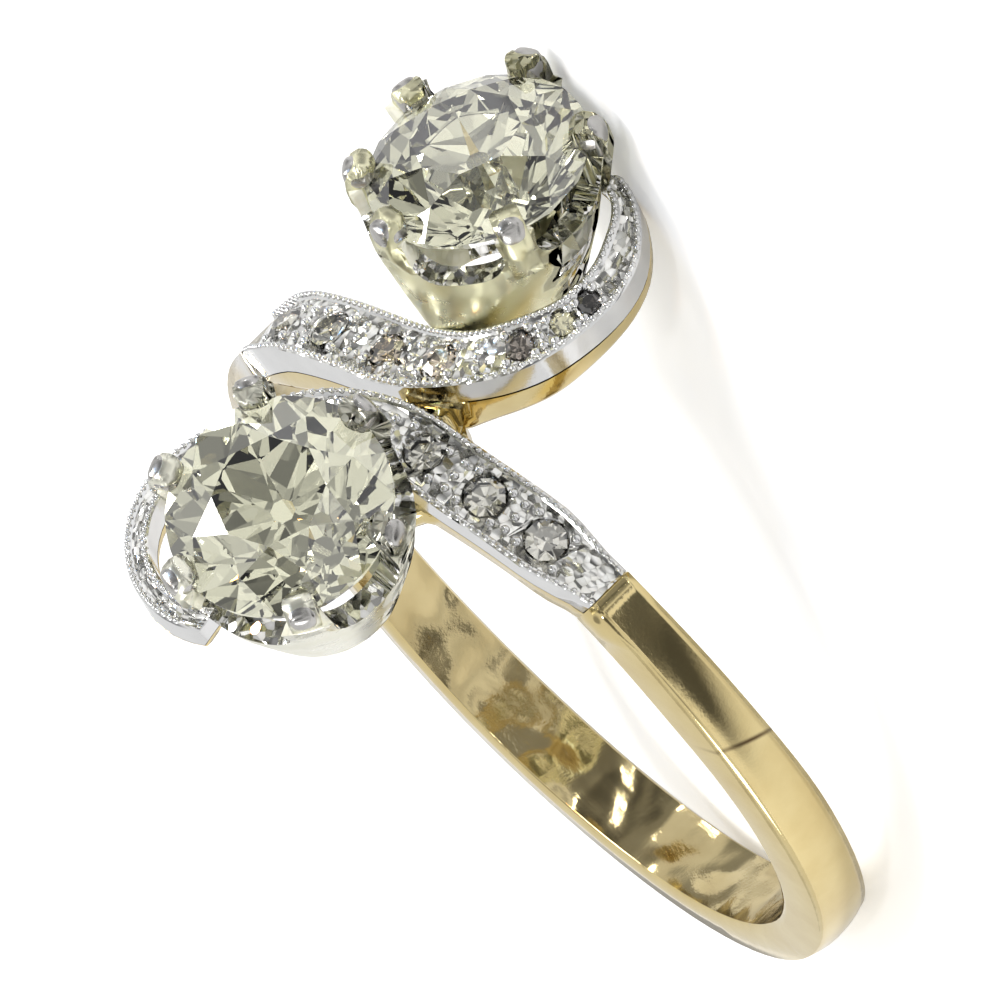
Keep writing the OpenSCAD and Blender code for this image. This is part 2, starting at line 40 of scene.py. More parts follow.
# The ring lies on its side. Its own frame has the finger hole along Y, the head
# at +Z and the middle of the finger hole at the origin, in millimetres.
ringPlace = {
    "across": (0.983227, -0.182388, 0.0),
    "ahead": (0.0440821, 0.237639, 0.970353),
    "up": (-0.176981, -0.954077, 0.241693),
    "middle": (0.0, -2.71323, 3.72511),
}


def turned(v):
    v = Vector(v)
    return Vector([Vector(ringPlace[k]).dot(v) for k in ("across", "ahead", "up")])


def place(v):
    return (turned(v) + Vector(ringPlace["middle"])) * mm


# ---- camera, floor and light ----
view = {
    "toward": (0.54643, -0.19832, 0.81368),
    "right": (0.65978, 0.70036, -0.27238),
    "distance": 296.21,
    "aside": -1.108,
    "above": 3.267,
    "lens": 470.1,
}


def addCamera():
    toward = turned(view["toward"]).normalized()
    right = turned(view["right"])
    right = (right - toward * right.dot(toward)).normalized()
    above = toward.cross(right)
    lens = bpy.data.cameras.new("camera")
    lens.lens = view["lens"]
    lens.sensor_width = 36
    lens.clip_start = 0.01
    lens.clip_end = 10
    camera = bpy.data.objects.new("camera", lens)
    bpy.context.scene.collection.objects.link(camera)
    spot = Vector(ringPlace["middle"]) + toward * view["distance"]
    spot += right * view["aside"] + above * view["above"]
    camera.matrix_world = Matrix.Translation(spot * mm) @ Matrix((right, above, toward)).transposed().to_4x4()
    bpy.context.scene.camera = camera


# A white studio. Patches are darker parts of it that only reflections see: in
# the sky by direction in the ring's frame, on the floor by place in millimetres.
studio = {
    "sky": 1.05,
    "skyPatches": [
        ((0.546, -0.198, 0.814), 12, 0.5),
        ((-0.27, 0.0, 0.96), 15, 0.75),
        ((-0.95, 0.2, 0.2), 11, 0.6),
        ((-0.546, 0.2, 0.814), 13, 0.65),
        ((0.3, 0.2, 0.93), 12, 0.65),
        ((0.45, -0.75, 0.6), 16, 0.85),
        ((-0.2, -0.5, 0.85), 12, 0.8),
        ((0.1, -0.3, 1.0), 9, 0.85),
        ((-0.75, -0.35, 0.55), 15, 0.85),
        ((0.75, -0.5, 0.1), 10, 0.5),
        ((-0.3, -0.95, 0.1), 14, 0.6),
        ((0.2, 0.6, 0.9), 12, 0.5),
    ],
    "floorPatches": [
        ((21, 9), 8, 0.97),
        ((27, 24), 14, 0.95),
        ((-14, 20), 8, 0.8),
        ((-6, -20), 7, 0.7),
        ((4, 24), 5, 0.7),
    ],
    "floor": 0.93,
    "floorGlow": 0.3,
    "floorMirror": 0.62,
    "lights": [
        ("key", (-0.5, 0.4, 1.0), 0.2, 1.2),
        ("fill", (0.9, -0.7, 0.6), 0.2, 0.6),
        ("glintLeft", (-0.9, -0.5, 0.9), 0.05, 0.25),
        ("glintFront", (0.2, -1.0, 0.8), 0.05, 0.25),
        ("glintBack", (0.5, 0.9, 0.7), 0.05, 0.25),
        ("glintLow", (-0.75, 0.25, 0.6), 0.016, 0.03),
        ("glintMiddle", (-0.3, 0.25, 0.9), 0.016, 0.03),
        ("glintHigh", (0.25, 0.25, 0.93), 0.016, 0.03),
    ],
    "flashes": [
        ("glintBlue", (-0.55, -0.35, 0.8), 0.03, 0.12, (0.25, 0.5, 1.0)),
        ("glintOrange", (0.1, 0.6, 0.8), 0.03, 0.1, (1.0, 0.45, 0.08)),
        ("glintBlueLow", (0.75, 0.35, 0.65), 0.03, 0.08, (0.25, 0.5, 1.0)),
        ("glintOrangeLow", (-0.35, -0.8, 0.6), 0.03, 0.08, (1.0, 0.45, 0.08)),
    ],
}


def link(tree, a, b):
    tree.links.new(a, b)


def node(tree, kind, **inputs):
    made = tree.nodes.new(kind)
    for name, value in inputs.items():
        made.inputs[name.replace("_", " ")].default_value = value
    return made


def darken(tree, value, at, spot, near, far, depth, operation):
    # one soft dark patch: 1 outside, 1 - depth in the middle
    gap = tree.nodes.new("ShaderNodeVectorMath")
    gap.operation = operation
    gap.inputs[1].default_value = spot
    link(tree, at, gap.inputs[0])
    patch = node(tree, "ShaderNodeMapRange", From_Min=far, From_Max=near, To_Min=1, To_Max=1 - depth)
    patch.interpolation_type = "SMOOTHSTEP"
    link(tree, gap.outputs["Value"], patch.inputs["Value"])
    both = tree.nodes.new("ShaderNodeMath")
    both.operation = "MULTIPLY"
    link(tree, value, both.inputs[0])
    link(tree, patch.outputs["Result"], both.inputs[1])
    return both.outputs["Value"]


def addWorld():
    world = bpy.data.worlds.new("studio")
    bpy.context.scene.world = world
    world.use_nodes = True
    tree = world.node_tree
    tree.nodes.clear()
    out = tree.nodes.new("ShaderNodeOutputWorld")
    sky = tree.nodes.new("ShaderNodeBackground")
    at = tree.nodes.new("ShaderNodeTexCoord")
    plain = tree.nodes.new("ShaderNodeValue")
    plain.outputs[0].default_value = studio["sky"]
    value = plain.outputs[0]
    for direction, radius, depth in studio["skyPatches"]:
        spot = turned(direction).normalized()
        near, far = cos(radians(radius * 0.6)), cos(radians(radius * 1.4))
        value = darken(tree, value, at.outputs["Generated"], spot, near, far, depth, "DOT_PRODUCT")
    rays = tree.nodes.new("ShaderNodeLightPath")
    seen = tree.nodes.new("ShaderNodeMix")
    seen.inputs["B"].default_value = studio["sky"]
    link(tree, rays.outputs["Is Camera Ray"], seen.inputs["Factor"])
    link(tree, value, seen.inputs["A"])
    link(tree, seen.outputs["Result"], sky.inputs["Strength"])
    link(tree, sky.outputs["Background"], out.inputs["Surface"])


def addLight(name, toward, size, power, colour=(1, 1, 1)):
    lamp = bpy.data.lights.new(name, "AREA")
    lamp.size = size
    lamp.energy = power
    lamp.color = colour
    light = bpy.data.objects.new(name, lamp)
    bpy.context.scene.collection.objects.link(light)
    aim = turned(toward).normalized() if name.startswith("glint") else Vector(toward).normalized()
    light.matrix_world = Matrix.Translation(aim * 0.5) @ aim.to_track_quat("Z", "Y").to_matrix().to_4x4()


addCamera()
addWorld()
bpy.context.scene.view_settings.view_transform = "Standard"
for each in studio["lights"] + studio["flashes"]:
    addLight(*each)
print("camera and light placed")


# ---- materials ----
def newGroup(name, inputs, outputs):
    group = bpy.data.node_groups.new(name, "ShaderNodeTree")
    for title, kind, value in inputs:
        socket = group.interface.new_socket(title, in_out="INPUT", socket_type=kind)
        if value is not None:
            socket.default_value = value
    for title, kind in outputs:
        group.interface.new_socket(title, in_out="OUTPUT", socket_type=kind)
    return group, group.nodes.new("NodeGroupInput"), group.nodes.new("NodeGroupOutput")


def addScratches():
    # fine hairlines that cross in two directions
    group, come, go = newGroup(
        "fine scratches",
        [("Vector", "NodeSocketVector", None), ("Scale", "NodeSocketFloat", 1.0)],
        [("Height", "NodeSocketFloat")])
    heights = []
    for turn, stretch in (((0.3, 0.5, 0.2), (900, 14000, 9000)), ((1.1, 0.2, 1.9), (12000, 1100, 8000))):
        laid = node(group, "ShaderNodeMapping", Rotation=turn, Scale=stretch)
        grain = node(group, "ShaderNodeTexNoise", Scale=1.0, Detail=2.0, Roughness=0.6)
        link(group, come.outputs["Vector"], laid.inputs["Vector"])
        link(group, laid.outputs["Vector"], grain.inputs["Vector"])
        heights.append(grain.outputs["Fac"])
    both = group.nodes.new("ShaderNodeMath")
    both.operation = "MULTIPLY"
    link(group, heights[0], both.inputs[0])
    link(group, heights[1], both.inputs[1])
    link(group, both.outputs["Value"], go.inputs["Height"])
    return group


def addCuts():
    # small flat cuts tilted every way, as a graver leaves between set stones
    group, come, go = newGroup(
        "bright cuts",
        [("Vector", "NodeSocketVector", None), ("Scale", "NodeSocketFloat", 6000.0)],
        [("Height", "NodeSocketFloat"), ("Mask", "NodeSocketFloat")])
    cells = group.nodes.new("ShaderNodeTexVoronoi")
    cells.feature = "F1"
    link(group, come.outputs["Vector"], cells.inputs["Vector"])
    link(group, come.outputs["Scale"], cells.inputs["Scale"])
    away = group.nodes.new("ShaderNodeVectorMath")
    away.operation = "SUBTRACT"
    link(group, come.outputs["Vector"], away.inputs[0])
    link(group, cells.outputs["Position"], away.inputs[1])
    tilt = group.nodes.new("ShaderNodeVectorMath")
    tilt.operation = "SUBTRACT"
    tilt.inputs[1].default_value = (0.5, 0.5, 0.5)
    link(group, cells.outputs["Color"], tilt.inputs[0])
    slope = group.nodes.new("ShaderNodeVectorMath")
    slope.operation = "DOT_PRODUCT"
    link(group, away.outputs["Vector"], slope.inputs[0])
    link(group, tilt.outputs["Vector"], slope.inputs[1])
    deep = group.nodes.new("ShaderNodeMath")
    deep.operation = "MULTIPLY"
    link(group, slope.outputs["Value"], deep.inputs[0])
    link(group, come.outputs["Scale"], deep.inputs[1])
    link(group, deep.outputs["Value"], go.inputs["Height"])
    link(group, cells.outputs["Distance"], go.inputs["Mask"])
    return group


def addSeam():
    # a thin line where a plane cuts the surface, within reach of a point
    group, come, go = newGroup(
        "seam line",
        [("Vector", "NodeSocketVector", None), ("Point", "NodeSocketVector", None), ("Across", "NodeSocketVector", None),
            ("Width", "NodeSocketFloat", 0.00003), ("Reach", "NodeSocketFloat", 0.001)],
        [("Mask", "NodeSocketFloat")])
    away = group.nodes.new("ShaderNodeVectorMath")
    away.operation = "SUBTRACT"
    link(group, come.outputs["Vector"], away.inputs[0])
    link(group, come.outputs["Point"], away.inputs[1])
    side = group.nodes.new("ShaderNodeVectorMath")
    side.operation = "DOT_PRODUCT"
    link(group, away.outputs["Vector"], side.inputs[0])
    link(group, come.outputs["Across"], side.inputs[1])
    size = group.nodes.new("ShaderNodeMath")
    size.operation = "ABSOLUTE"
    link(group, side.outputs["Value"], size.inputs[0])
    far = group.nodes.new("ShaderNodeVectorMath")
    far.operation = "LENGTH"
    link(group, away.outputs["Vector"], far.inputs[0])
    masks = []
    for value, limit in ((size.outputs["Value"], "Width"), (far.outputs["Value"], "Reach")):
        fade = node(group, "ShaderNodeMapRange", From_Min=0, To_Min=1, To_Max=0)
        fade.interpolation_type = "SMOOTHSTEP"
        link(group, value, fade.inputs["Value"])
        link(group, come.outputs[limit], fade.inputs["From Max"])
        masks.append(fade.outputs["Result"])
    both = group.nodes.new("ShaderNodeMath")
    both.operation = "MULTIPLY"
    link(group, masks[0], both.inputs[0])
    link(group, masks[1], both.inputs[1])
    link(group, both.outputs["Value"], go.inputs["Mask"])
    return group


scratches = addScratches()
brightCuts = addCuts()
seamLine = addSeam()


def startMaterial(name):
    material = bpy.data.materials.new(name)
    material.use_nodes = True
    tree = material.node_tree
    return material, tree, tree.nodes["Principled BSDF"]


def placeGroup(tree, group, at):
    made = tree.nodes.new("ShaderNodeGroup")
    made.node_tree = group
    link(tree, at.outputs["Object"], made.inputs["Vector"])
    return made


def addBump(tree, shader, height, strength, distance):
    bump = node(tree, "ShaderNodeBump", Strength=strength, Distance=distance)
    link(tree, height, bump.inputs["Height"])
    link(tree, bump.outputs["Normal"], shader.inputs["Normal"])
    return bump


def blendColour(tree, factor, first, second):
    tone = tree.nodes.new("ShaderNodeMix")
    tone.data_type = "RGBA"
    for name, colour in (("A", first), ("B", second)):
        if isinstance(colour, tuple):
            tone.inputs[name].default_value = (*colour, 1)
        else:
            link(tree, colour, tone.inputs[name])
    link(tree, factor, tone.inputs["Factor"])
    return tone.outputs["Result"]


def metal(name, colour, worn, roughness, scratch, cloud, seams=(), waves=None):
    material, tree, shader = startMaterial(name)
    shader.inputs["Metallic"].default_value = 1
    at = tree.nodes.new("ShaderNodeTexCoord")
    lines = placeGroup(tree, scratches, at)
    bump = addBump(tree, shader, lines.outputs["Height"], scratch, 0.00001)
    if waves:
        wave = node(tree, "ShaderNodeTexNoise", Scale=waves[0], Detail=1.0, Roughness=0.4)
        link(tree, at.outputs["Object"], wave.inputs["Vector"])
        under = node(tree, "ShaderNodeBump", Strength=1.0, Distance=waves[1] * mm)
        link(tree, wave.outputs["Fac"], under.inputs["Height"])
        link(tree, under.outputs["Normal"], bump.inputs["Normal"])
    patches = node(tree, "ShaderNodeTexNoise", Scale=cloud, Detail=3.0, Roughness=0.55)
    link(tree, at.outputs["Object"], patches.inputs["Vector"])
    tone = blendColour(tree, patches.outputs["Fac"], colour, worn)
    for point, across, width, reach, solder in seams:
        line = placeGroup(tree, seamLine, at)
        line.inputs["Point"].default_value = place(point)
        line.inputs["Across"].default_value = turned(across).normalized()
        line.inputs["Width"].default_value = width * mm
        line.inputs["Reach"].default_value = reach * mm
        tone = blendColour(tree, line.outputs["Mask"], tone, solder)
    link(tree, tone, shader.inputs["Base Color"])
    dull = node(tree, "ShaderNodeMapRange", To_Min=roughness * 0.6, To_Max=roughness * 1.5)
    link(tree, patches.outputs["Fac"], dull.inputs["Value"])
    link(tree, dull.outputs["Result"], shader.inputs["Roughness"])
    return material


def cutMetal(name, colour, shade, roughness, scale, strength, metallic=1.0):
    material, tree, shader = startMaterial(name)
    shader.inputs["Metallic"].default_value = metallic
    shader.inputs["Roughness"].default_value = roughness
    at = tree.nodes.new("ShaderNodeTexCoord")
    cuts = placeGroup(tree, brightCuts, at)
    cuts.inputs["Scale"].default_value = scale
    link(tree, blendColour(tree, cuts.outputs["Mask"], colour, shade), shader.inputs["Base Color"])
    addBump(tree, shader, cuts.outputs["Height"], strength, 1.6 / scale)
    return material


def stone(name, colour, ior):
    material, tree, shader = startMaterial(name)
    shader.inputs["Base Color"].default_value = (*colour, 1)
    shader.inputs["Roughness"].default_value = 0
    shader.inputs["IOR"].default_value = ior
    shader.inputs["Transmission Weight"].default_value = 1
    return material


goldTone, goldWorn, platinumTone = (0.84, 0.71, 0.38), (0.66, 0.51, 0.23), (0.84, 0.84, 0.83)
looks = {
    "gold": metal("yellow gold", goldTone, goldWorn, 0.09, 0.3, 900, [
        ((8.95, 0.08, 4.36), (0.39, -0.39, -0.84), 0.1, 1.6, (0.1, 0.06, 0.03)),
        ((2.15, 2.17, 10.2), (0.9, 0, -0.44), 0.2, 1.3, (0.62, 0.43, 0.1)),
        ((-7.7, 0.1, 5.2), (0.55, 0, 0.84), 2.1, 2.8, platinumTone)]),
    # the inside of the band is a darker gold than the outside: painted shade in the finger hole, with its two tones
    # mixed at random
    "shadedInnerGold": metal("inner gold with painted shade", (0.76, 0.64, 0.36), (0.46, 0.36, 0.17), 0.1, 0.3, 700, (), (650, 0.2)),
    "platinum": metal("platinum", platinumTone, (0.7, 0.7, 0.7), 0.1, 0.2, 1100),
    "satinPlatinum": metal("satin platinum", (0.87, 0.86, 0.76), (0.78, 0.77, 0.62), 0.28, 0.15, 1500),
    "warmPlatinum": metal("warm satin platinum", (0.86, 0.84, 0.62), (0.74, 0.71, 0.44), 0.28, 0.15, 1500),
    # the claw heads are a darker platinum than the plates, with two tones mixed at random
    "clawPlatinum": metal("darker claw platinum", (0.64, 0.63, 0.61), (0.38, 0.37, 0.35), 0.22, 0.4, 2500),
    "cutPlatinum": cutMetal("bright-cut platinum", (0.96, 0.96, 0.94), (0.72, 0.71, 0.66), 0.12, 5200, 0.8),
    # the ledge inside each collet is a pale cream that does not reflect as metal: painted light in the shaded hollow of
    # the collet, with the bumped cuts of the plates
    "paintedLightLedge": cutMetal("ledge painted pale as light", (0.97, 0.96, 0.84), (0.9, 0.88, 0.68), 0.35, 4200, 0.25, 0.0),
    "mainDiamond": stone("old-cut diamond", (1.0, 0.99, 0.74), 2.4),
    "smallDiamond": stone("small diamond", (0.98, 0.96, 0.86), 2.2),
    "tanDiamond": stone("tan diamond", (0.88, 0.76, 0.6), 2.2),
    "brownDiamond": stone("brown diamond", (0.42, 0.37, 0.32), 2.2),
    "yellowDiamond": stone("yellow diamond", (0.9, 0.85, 0.55), 2.2),
    "darkDiamond": stone("dark diamond", (0.05, 0.045, 0.04), 2.2),
}
print("materials made")


# ---- shapes taken over from the solids ----
def clearSelection():
    for each in bpy.context.selected_objects:
        each.select_set(False)


def choose(piece):
    clearSelection()
    piece.select_set(True)
    bpy.context.view_layer.objects.active = piece


def wear(piece, *materials):
    piece.data.materials.clear()
    for material in materials:
        piece.data.materials.append(material)


def smoothCopy(nodeName, pieceName, angle):
    # a merged copy of a solid, shaded smooth, which stands for it
    piece = nodes[nodeName].copy()
    piece.data = nodes[nodeName].data.copy()
    piece.name = pieceName
    for key in list(piece.keys()):
        del piece[key]
    piece.parent = None
    bpy.context.scene.collection.objects.link(piece)
    choose(piece)
    bpy.ops.object.mode_set(mode="EDIT")
    bpy.ops.mesh.select_all(action="SELECT")
    bpy.ops.mesh.remove_doubles(threshold=0.000002)
    bpy.ops.mesh.dissolve_degenerate(threshold=0.000001)
    bpy.ops.mesh.normals_make_consistent(inside=False)
    bpy.ops.object.mode_set(mode="OBJECT")
    bpy.ops.object.shade_smooth_by_angle(angle=radians(angle))
    bpy.ops.object.modifier_add(type="WEIGHTED_NORMAL")
    piece.modifiers[-1].keep_sharp = True
    bpy.ops.object.modifier_apply(modifier=piece.modifiers[-1].name)
    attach(piece, "root")
    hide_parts(nodeName)
    return piece


def trueRound(piece, radius, lining):
    # the finger side is a true round, so its normals are the round's own
    mesh = piece.data
    normals = [Vector(corner.vector) for corner in mesh.corner_normals]
    axis, middle = turned((0, 1, 0)), Vector(ringPlace["middle"]) * mm
    spots = [v.co - middle for v in mesh.vertices]
    spots = [s - axis * s.dot(axis) for s in spots]
    for face in mesh.polygons:
        if all(abs(spots[v].length - radius * mm) < 0.00001 for v in face.vertices):
            face.material_index = lining
            for corner, v in zip(face.loop_indices, face.vertices):
                normals[corner] = -spots[v].normalized()
    mesh.normals_split_custom_set(normals)


# Sizes of the ring that the trim follows, in millimetres and degrees
ring = {
    "finger": 8.5,
    "shoulder": 1.5,
    "shoulderWide": 1.76,
    "curlWide": 0.86,
    "curlR": 3.755,
    "curlAt": (1.48, -4.515),
    "rise": 2.2,
    "slope": 24,
    "joint": 35.5,
    "jointShift": 0.13,
    "tipWide": 0.62,
    "pathTurn": 262,
    "rail": 0.14,
    "railDeep": 0.09,
    "girdle": 13.24,
    "leanAlong": 8.8,
    "leanAcross": 6.1,
}
sides = {
    "near": {
        "tip": 270, "taper": 95, "hook": 65, "hookIn": 1.0, "start": 0.0, "drop": 0.0, "crease": 1.185, "beadsTo": 262,
        "stones": [(0.1, 0.58), (0.204, 0.57), (0.309, 0.52), (0.41, 0.52), (0.513, 0.56), (0.59, 0.6)]},
    "far": {
        "tip": 224, "taper": 36, "hook": 49, "hookIn": 1.1, "start": -0.1148, "drop": 0.5, "crease": 1.278, "beadsTo": 222,
        "stones": [
            (0.005, 0.56), (0.12, 0.57), (0.247, 0.5), (0.366, 0.55), (0.5, 0.58), (0.57, 0.62), (0.618, 0.62)]},
}
stations = [
    (0, 0, 1, 0), (0.22, 0, 1, 0), (0.275, 0.03, 1, 0), (0.33, 0.21, 0.93, 0), (0.38, 0.37, 0.72, 0),
    (0.42, 0.46, 0.6, 0), (0.465, 0.56, 0.48, 0.35), (0.525, 0.65, 0.26, 0.8), (0.57, 0.7, 0.03, 1),
    (0.62, 0.77, 0, 1), (0.675, 0.86, 0, 1), (0.72, 0.94, 0, 1), (0.77, 0.97, 0, 1), (1, 1, 0, 1)]


def ease(t):
    t = min(1, max(0, t))
    return t * t * (3 - 2 * t)


def station(t, column):
    if t <= 0:
        return stations[0][column]
    for low, high in zip(stations, stations[1:]):
        if t <= high[0]:
            return low[column] + (high[column] - low[column]) * (t - low[0]) / (high[0] - low[0])
    return stations[-1][column]


def smooth(t, column):
    return sum(w * station(t + d * 0.014, column) for d, w in ((-2, 1), (-1, 2), (0, 2), (1, 2), (2, 1))) / 8


class Shoulder:
    # the path of one shoulder and the frame across it
    def __init__(self, side):
        self.side = side
        self.sizes = sides[side]
        self.r = ring["finger"] + ring["shoulder"]
        self.joint = Vector((self.r * sin(radians(ring["joint"])), -ring["jointShift"]))
        self.curl = Vector(ring["curlAt"])
        way = self.curl - self.joint
        self.lead = sqrt(way.length_squared - ring["curlR"] ** 2)
        self.heading = atan2(way.y, way.x) - asin(ring["curlR"] / way.length)
        self.heading = self.heading if self.heading < 0 else self.heading - 2 * pi
        self.curlStart = self.heading + 1.5 * pi
        self.length = self.lead + ring["curlR"] * (radians(ring["pathTurn"]) - self.curlStart)
        self.last = (self.lead + ring["curlR"] * (radians(self.sizes["beadsTo"]) - self.curlStart)) / self.length

    def turn(self, t):
        return self.curlStart + max(0, t * self.length - self.lead) / ring["curlR"]

    def flat(self, t):
        if t < 0:
            return self.joint + Vector((t * self.length * cos(self.heading), 0))
        if t * self.length < self.lead:
            return self.joint + t * self.length * Vector((cos(self.heading), sin(self.heading)))
        a = self.turn(t)
        bend = max(0, degrees(a) - self.sizes["tip"] + self.sizes["hook"]) / self.sizes["hook"]
        hook = self.sizes["hookIn"] * bend ** 2
        return self.curl + (ring["curlR"] - hook) * Vector((cos(a), sin(a)))

    def half(self, t):
        wide = ring["curlWide"] + (ring["shoulderWide"] - ring["curlWide"]) * smooth(t, 2)
        narrow = (degrees(self.turn(t)) - self.sizes["tip"] + self.sizes["taper"]) / (0.6 * self.sizes["taper"])
        full = (wide - (ring["curlWide"] - ring["tipWide"]) * ease(narrow)) / 2
        start = self.sizes["crease"] / 2
        return start + (full - start) * ease((t - self.sizes["start"]) / 0.11)

    def frame(self, t):
        p = self.flat(t)
        r = self.r - self.sizes["drop"] * ease((0.06 - t) / (0.06 - self.sizes["start"]))
        lean = asin(max(0, p.x) / r)
        top = Vector((p.x, p.y, r * cos(lean) + ring["rise"] * smooth(t, 1)))
        a = self.turn(t)
        return top, Vector((-cos(a), -sin(a), 0)), Vector((sin(lean), 0, cos(lean)))

    def point(self, t, w, h):
        top, inward, upward = self.frame(t)
        p = top + w * inward + (h + w * tan(radians(ring["slope"] * smooth(t, 3)))) * upward
        return place(p if self.side == "near" else (-p.x, -p.y, p.z))


shoulders = {side: Shoulder(side) for side in sides}


def ball(name, radius, rings):
    # one bead, made at the origin and copied
    clearSelection()
    bpy.ops.mesh.primitive_ico_sphere_add(subdivisions=rings, radius=radius * mm, location=(0, 0, 0))
    bead = bpy.context.object
    bead.name = name
    bpy.ops.object.shade_smooth()
    return bead


def strew(shape, matrices, name, material):
    # copies of one shape, each put in place by a matrix, joined to one piece
    copies = []
    for matrix in matrices:
        each = shape.copy()
        each.data = shape.data.copy()
        each.data.transform(matrix)
        bpy.context.scene.collection.objects.link(each)
        copies.append(each)
    clearSelection()
    for each in copies:
        each.select_set(True)
    bpy.context.view_layer.objects.active = copies[0]
    bpy.ops.object.join()
    piece = bpy.context.object
    piece.name = name
    wear(piece, material)
    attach(piece, "root")
    return piece


def atSpot(spot, size=1):
    return Matrix.Translation(spot) @ Matrix.Scale(size, 4)


def removePiece(piece):
    bpy.data.objects.remove(piece, do_unlink=True)


def inCollet(side, spot):
    # a spot in metres, seen from the middle of a main stone, in millimetres
    v = Vector(spot) / mm - Vector(ringPlace["middle"])
    v = sum((Vector(ringPlace[k]) * v[i] for i, k in enumerate(("across", "ahead", "up"))), Vector())
    if side == "upper":
        v = Vector((-v.x, -v.y, v.z))
    v -= Vector((*ring["curlAt"], ring["girdle"]))
    return Matrix.Rotation(radians(-ring["leanAcross"]), 3, "X") @ Matrix.Rotation(radians(-ring["leanAlong"]), 3, "Y") @ v


# ---- band ----
shank = smoothCopy("shank", "goldShank", 32)
wear(shank, looks["gold"], looks["shadedInnerGold"])
trueRound(shank, ring["finger"], 1)
print("band made")

# ---- white plates with their beaded edges ----
beads = {
    "pitch": 0.19,
    "radius": 0.09,
    "sunk": 0.01,
    "grain": 0.13,
    "corner": 0.82,
    "edgeRoom": 0.25,
    "rowRoom": 0.35,
    "rowAt": (-0.42, 0, 0.42),
    "rowSize": 0.9,
    "cutTilt": 0.62,
}
plates = {}
for side in sides:
    plates[side] = smoothCopy(side + "_plate", side + "Plate", 30)
    wear(plates[side], looks["platinum"], looks["cutPlatinum"])
    for face in plates[side].data.polygons:
        if face.normal.dot(turned((0, 0, 1))) > beads["cutTilt"]:
            face.material_index = 1
    path = shoulders[side]
    edge = []
    railMiddle = (ring["rail"] + ring["railDeep"] / 2) / 2
    t = path.sizes["start"] + 0.008
    while t < path.last:
        for out in (1, -1):
            edge.append(atSpot(path.point(t, out * (path.half(t) - railMiddle), -beads["sunk"])))
        t += beads["pitch"] / path.length
    bead = ball("bead", beads["radius"], 1)
    strew(bead, edge, side + "Millegrain", looks["platinum"])
    grains = []
    for at, share in path.sizes["stones"]:
        r = share * path.half(at)
        for along in (1, -1):
            for out in (1, -1):
                t = at + along * beads["corner"] * (r + 0.06) / path.length
                w = out * min(0.8 * (r + 0.04), path.half(t) - beads["edgeRoom"])
                grains.append(atSpot(path.point(t, w, -ring["railDeep"])))
    for (one, a), (two, b) in zip(path.sizes["stones"], path.sizes["stones"][1:]):
        free = (two - one) * path.length - a * path.half(one) - b * path.half(two)
        if free > beads["rowRoom"]:
            middle = (one + two) / 2
            for w in beads["rowAt"]:
                grains.append(atSpot(path.point(middle, w * path.half(middle), -ring["railDeep"]), beads["rowSize"]))
    removePiece(bead)
    bead = ball("grain", beads["grain"], 2)
    strew(bead, grains, side + "Grains", looks["platinum"])
    removePiece(bead)
print("plates and beads made")

# ---- collets and stones ----
claws = {
    "lower": (24, 90, 147, 204, 260, 327),
    "upper": (158, 227, 294, 354, 406, 453),
    "size": (0.8, 0.76, 0.76),
    "middle": (2.7, 0, 0.25),
    "round": 0.16,
    "wallTop": 0.062,
    "crownAt": (2.632, 0, 0.055),
    "crownWay": (0.576, 0, 0.817),
}


def colletPlace(side, turn=0):
    # from a collet's own place, in millimetres, to the scene
    made = Matrix.Translation((*ring["curlAt"], ring["girdle"])) @ Matrix.Rotation(radians(ring["leanAlong"]), 4, "Y")
    made = made @ Matrix.Rotation(radians(ring["leanAcross"]), 4, "X") @ Matrix.Rotation(radians(turn), 4, "Z")
    if side == "upper":
        made = Matrix.Rotation(pi, 4, "Z") @ made
    laid = Matrix([ringPlace[k] for k in ("across", "ahead", "up")]).to_4x4()
    return Matrix.Scale(mm, 4) @ Matrix.Translation(ringPlace["middle"]) @ laid @ made


def cutHeads(piece, side):
    # the square heads of the claws come off at the wall's top
    place = colletPlace(side)
    choose(piece)
    bpy.ops.object.mode_set(mode="EDIT")
    bpy.ops.mesh.select_all(action="SELECT")
    bpy.ops.mesh.bisect(
        plane_co=place @ Vector((0, 0, claws["wallTop"])),
        plane_no=place.to_3x3() @ Vector((0, 0, 1)),
        use_fill=True,
        clear_outer=True)
    bpy.ops.object.mode_set(mode="OBJECT")


def makeHead():
    # a round-edged head, cut to the slope of the stone's crown
    clearSelection()
    bpy.ops.mesh.primitive_cube_add(size=1, location=claws["middle"], scale=claws["size"])
    bpy.ops.object.transform_apply(location=True, rotation=True, scale=True)
    bpy.ops.object.mode_set(mode="EDIT")
    bpy.ops.mesh.select_all(action="SELECT")
    bpy.ops.mesh.bevel(offset=claws["round"], segments=1, affect="EDGES")
    bpy.ops.object.mode_set(mode="OBJECT")
    bpy.ops.object.modifier_add(type="SUBSURF")
    bpy.context.object.modifiers[-1].levels = bpy.context.object.modifiers[-1].render_levels = 2
    bpy.ops.object.modifier_apply(modifier=bpy.context.object.modifiers[-1].name)
    bpy.ops.object.mode_set(mode="EDIT")
    bpy.ops.mesh.select_all(action="SELECT")
    bpy.ops.mesh.bisect(plane_co=claws["crownAt"], plane_no=claws["crownWay"], use_fill=True, clear_inner=True)
    bpy.ops.object.mode_set(mode="OBJECT")
    bpy.ops.object.shade_smooth_by_angle(angle=radians(40))
    return bpy.context.object


head = makeHead()
for side in ("lower", "upper"):
    turns = [colletPlace(side, turn) for turn in claws[side]]
    strew(head, turns, side + "ClawHeads", looks["clawPlatinum"])
removePiece(head)

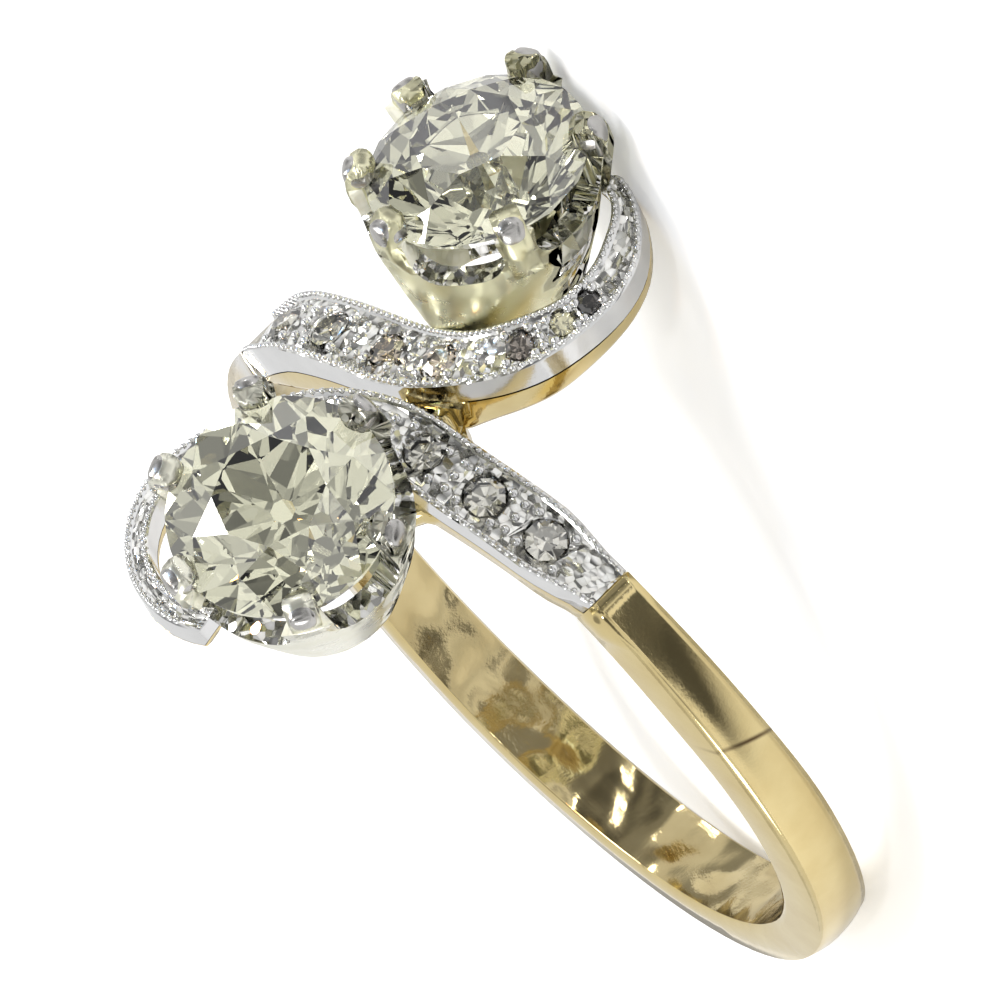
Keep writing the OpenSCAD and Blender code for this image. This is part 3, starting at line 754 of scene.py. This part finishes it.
collets = {}
colletLooks = {"lower": "satinPlatinum", "upper": "warmPlatinum"}
tints = {
    ("far", 3): "tanDiamond",
    ("far", 4): "tanDiamond",
    ("far", 5): "brownDiamond",
    ("far", 6): "yellowDiamond",
    ("far", 7): "darkDiamond",
}
for side in ("lower", "upper"):
    collets[side] = smoothCopy(side + "_collet", side + "Collet", 35)
    cutHeads(collets[side], side)
    wear(collets[side], looks[colletLooks[side]], looks["paintedLightLedge"], looks["cutPlatinum"])
    upright = colletPlace(side).to_3x3() @ Vector((0, 0, 1000))
    for face in collets[side].data.polygons:
        spot = inCollet(side, face.center)
        outward = colletPlace(side).to_3x3() @ Vector((spot.x, spot.y, 0)).normalized() * 1000
        if face.normal.dot(upright) > 0.3 and spot.z < -0.4:
            face.material_index = 2
        # inward walls low in the collet get the pale ledge: painted light in the hollow
        elif face.normal.dot(outward) < 0.1 and spot.z < 0.1:
            face.material_index = 1
    wear(nodes[side + "_diamond"], looks["mainDiamond"])
for side, path in shoulders.items():
    for k in range(1, len(path.sizes["stones"]) + 1):
        wear(nodes["%s_stone_%d" % (side, k)], looks[tints.get((side, k), "smallDiamond")])
print("collets and stones made")


# ---- floor ----
def addFloor():
    bpy.ops.mesh.primitive_plane_add(size=1.2, location=(0, 0, 0))
    floor = bpy.context.object
    floor.name = "floor"
    material, tree, shader = startMaterial("pale floor")
    shader.inputs["Roughness"].default_value = 0.6
    shader.inputs["Emission Strength"].default_value = studio["floorGlow"]
    at = tree.nodes.new("ShaderNodeTexCoord")
    plain = tree.nodes.new("ShaderNodeValue")
    plain.outputs[0].default_value = studio["floorMirror"]
    value = plain.outputs[0]
    for spot, radius, depth in studio["floorPatches"]:
        spot = Vector((*spot, 0)) * mm
        value = darken(tree, value, at.outputs["Object"], spot, radius * 0.5 * mm, radius * 1.5 * mm, depth, "DISTANCE")
    rays = tree.nodes.new("ShaderNodeLightPath")
    mirrored = tree.nodes.new("ShaderNodeMath")
    mirrored.operation = "MAXIMUM"
    link(tree, rays.outputs["Is Glossy Ray"], mirrored.inputs[0])
    link(tree, rays.outputs["Is Transmission Ray"], mirrored.inputs[1])
    tone = tree.nodes.new("ShaderNodeMix")
    tone.inputs["A"].default_value = studio["floor"]
    link(tree, mirrored.outputs["Value"], tone.inputs["Factor"])
    link(tree, value, tone.inputs["B"])
    link(tree, tone.outputs["Result"], shader.inputs["Base Color"])
    link(tree, tone.outputs["Result"], shader.inputs["Emission Color"])
    wear(floor, material)


clearSelection()
addFloor()
print("scene made")
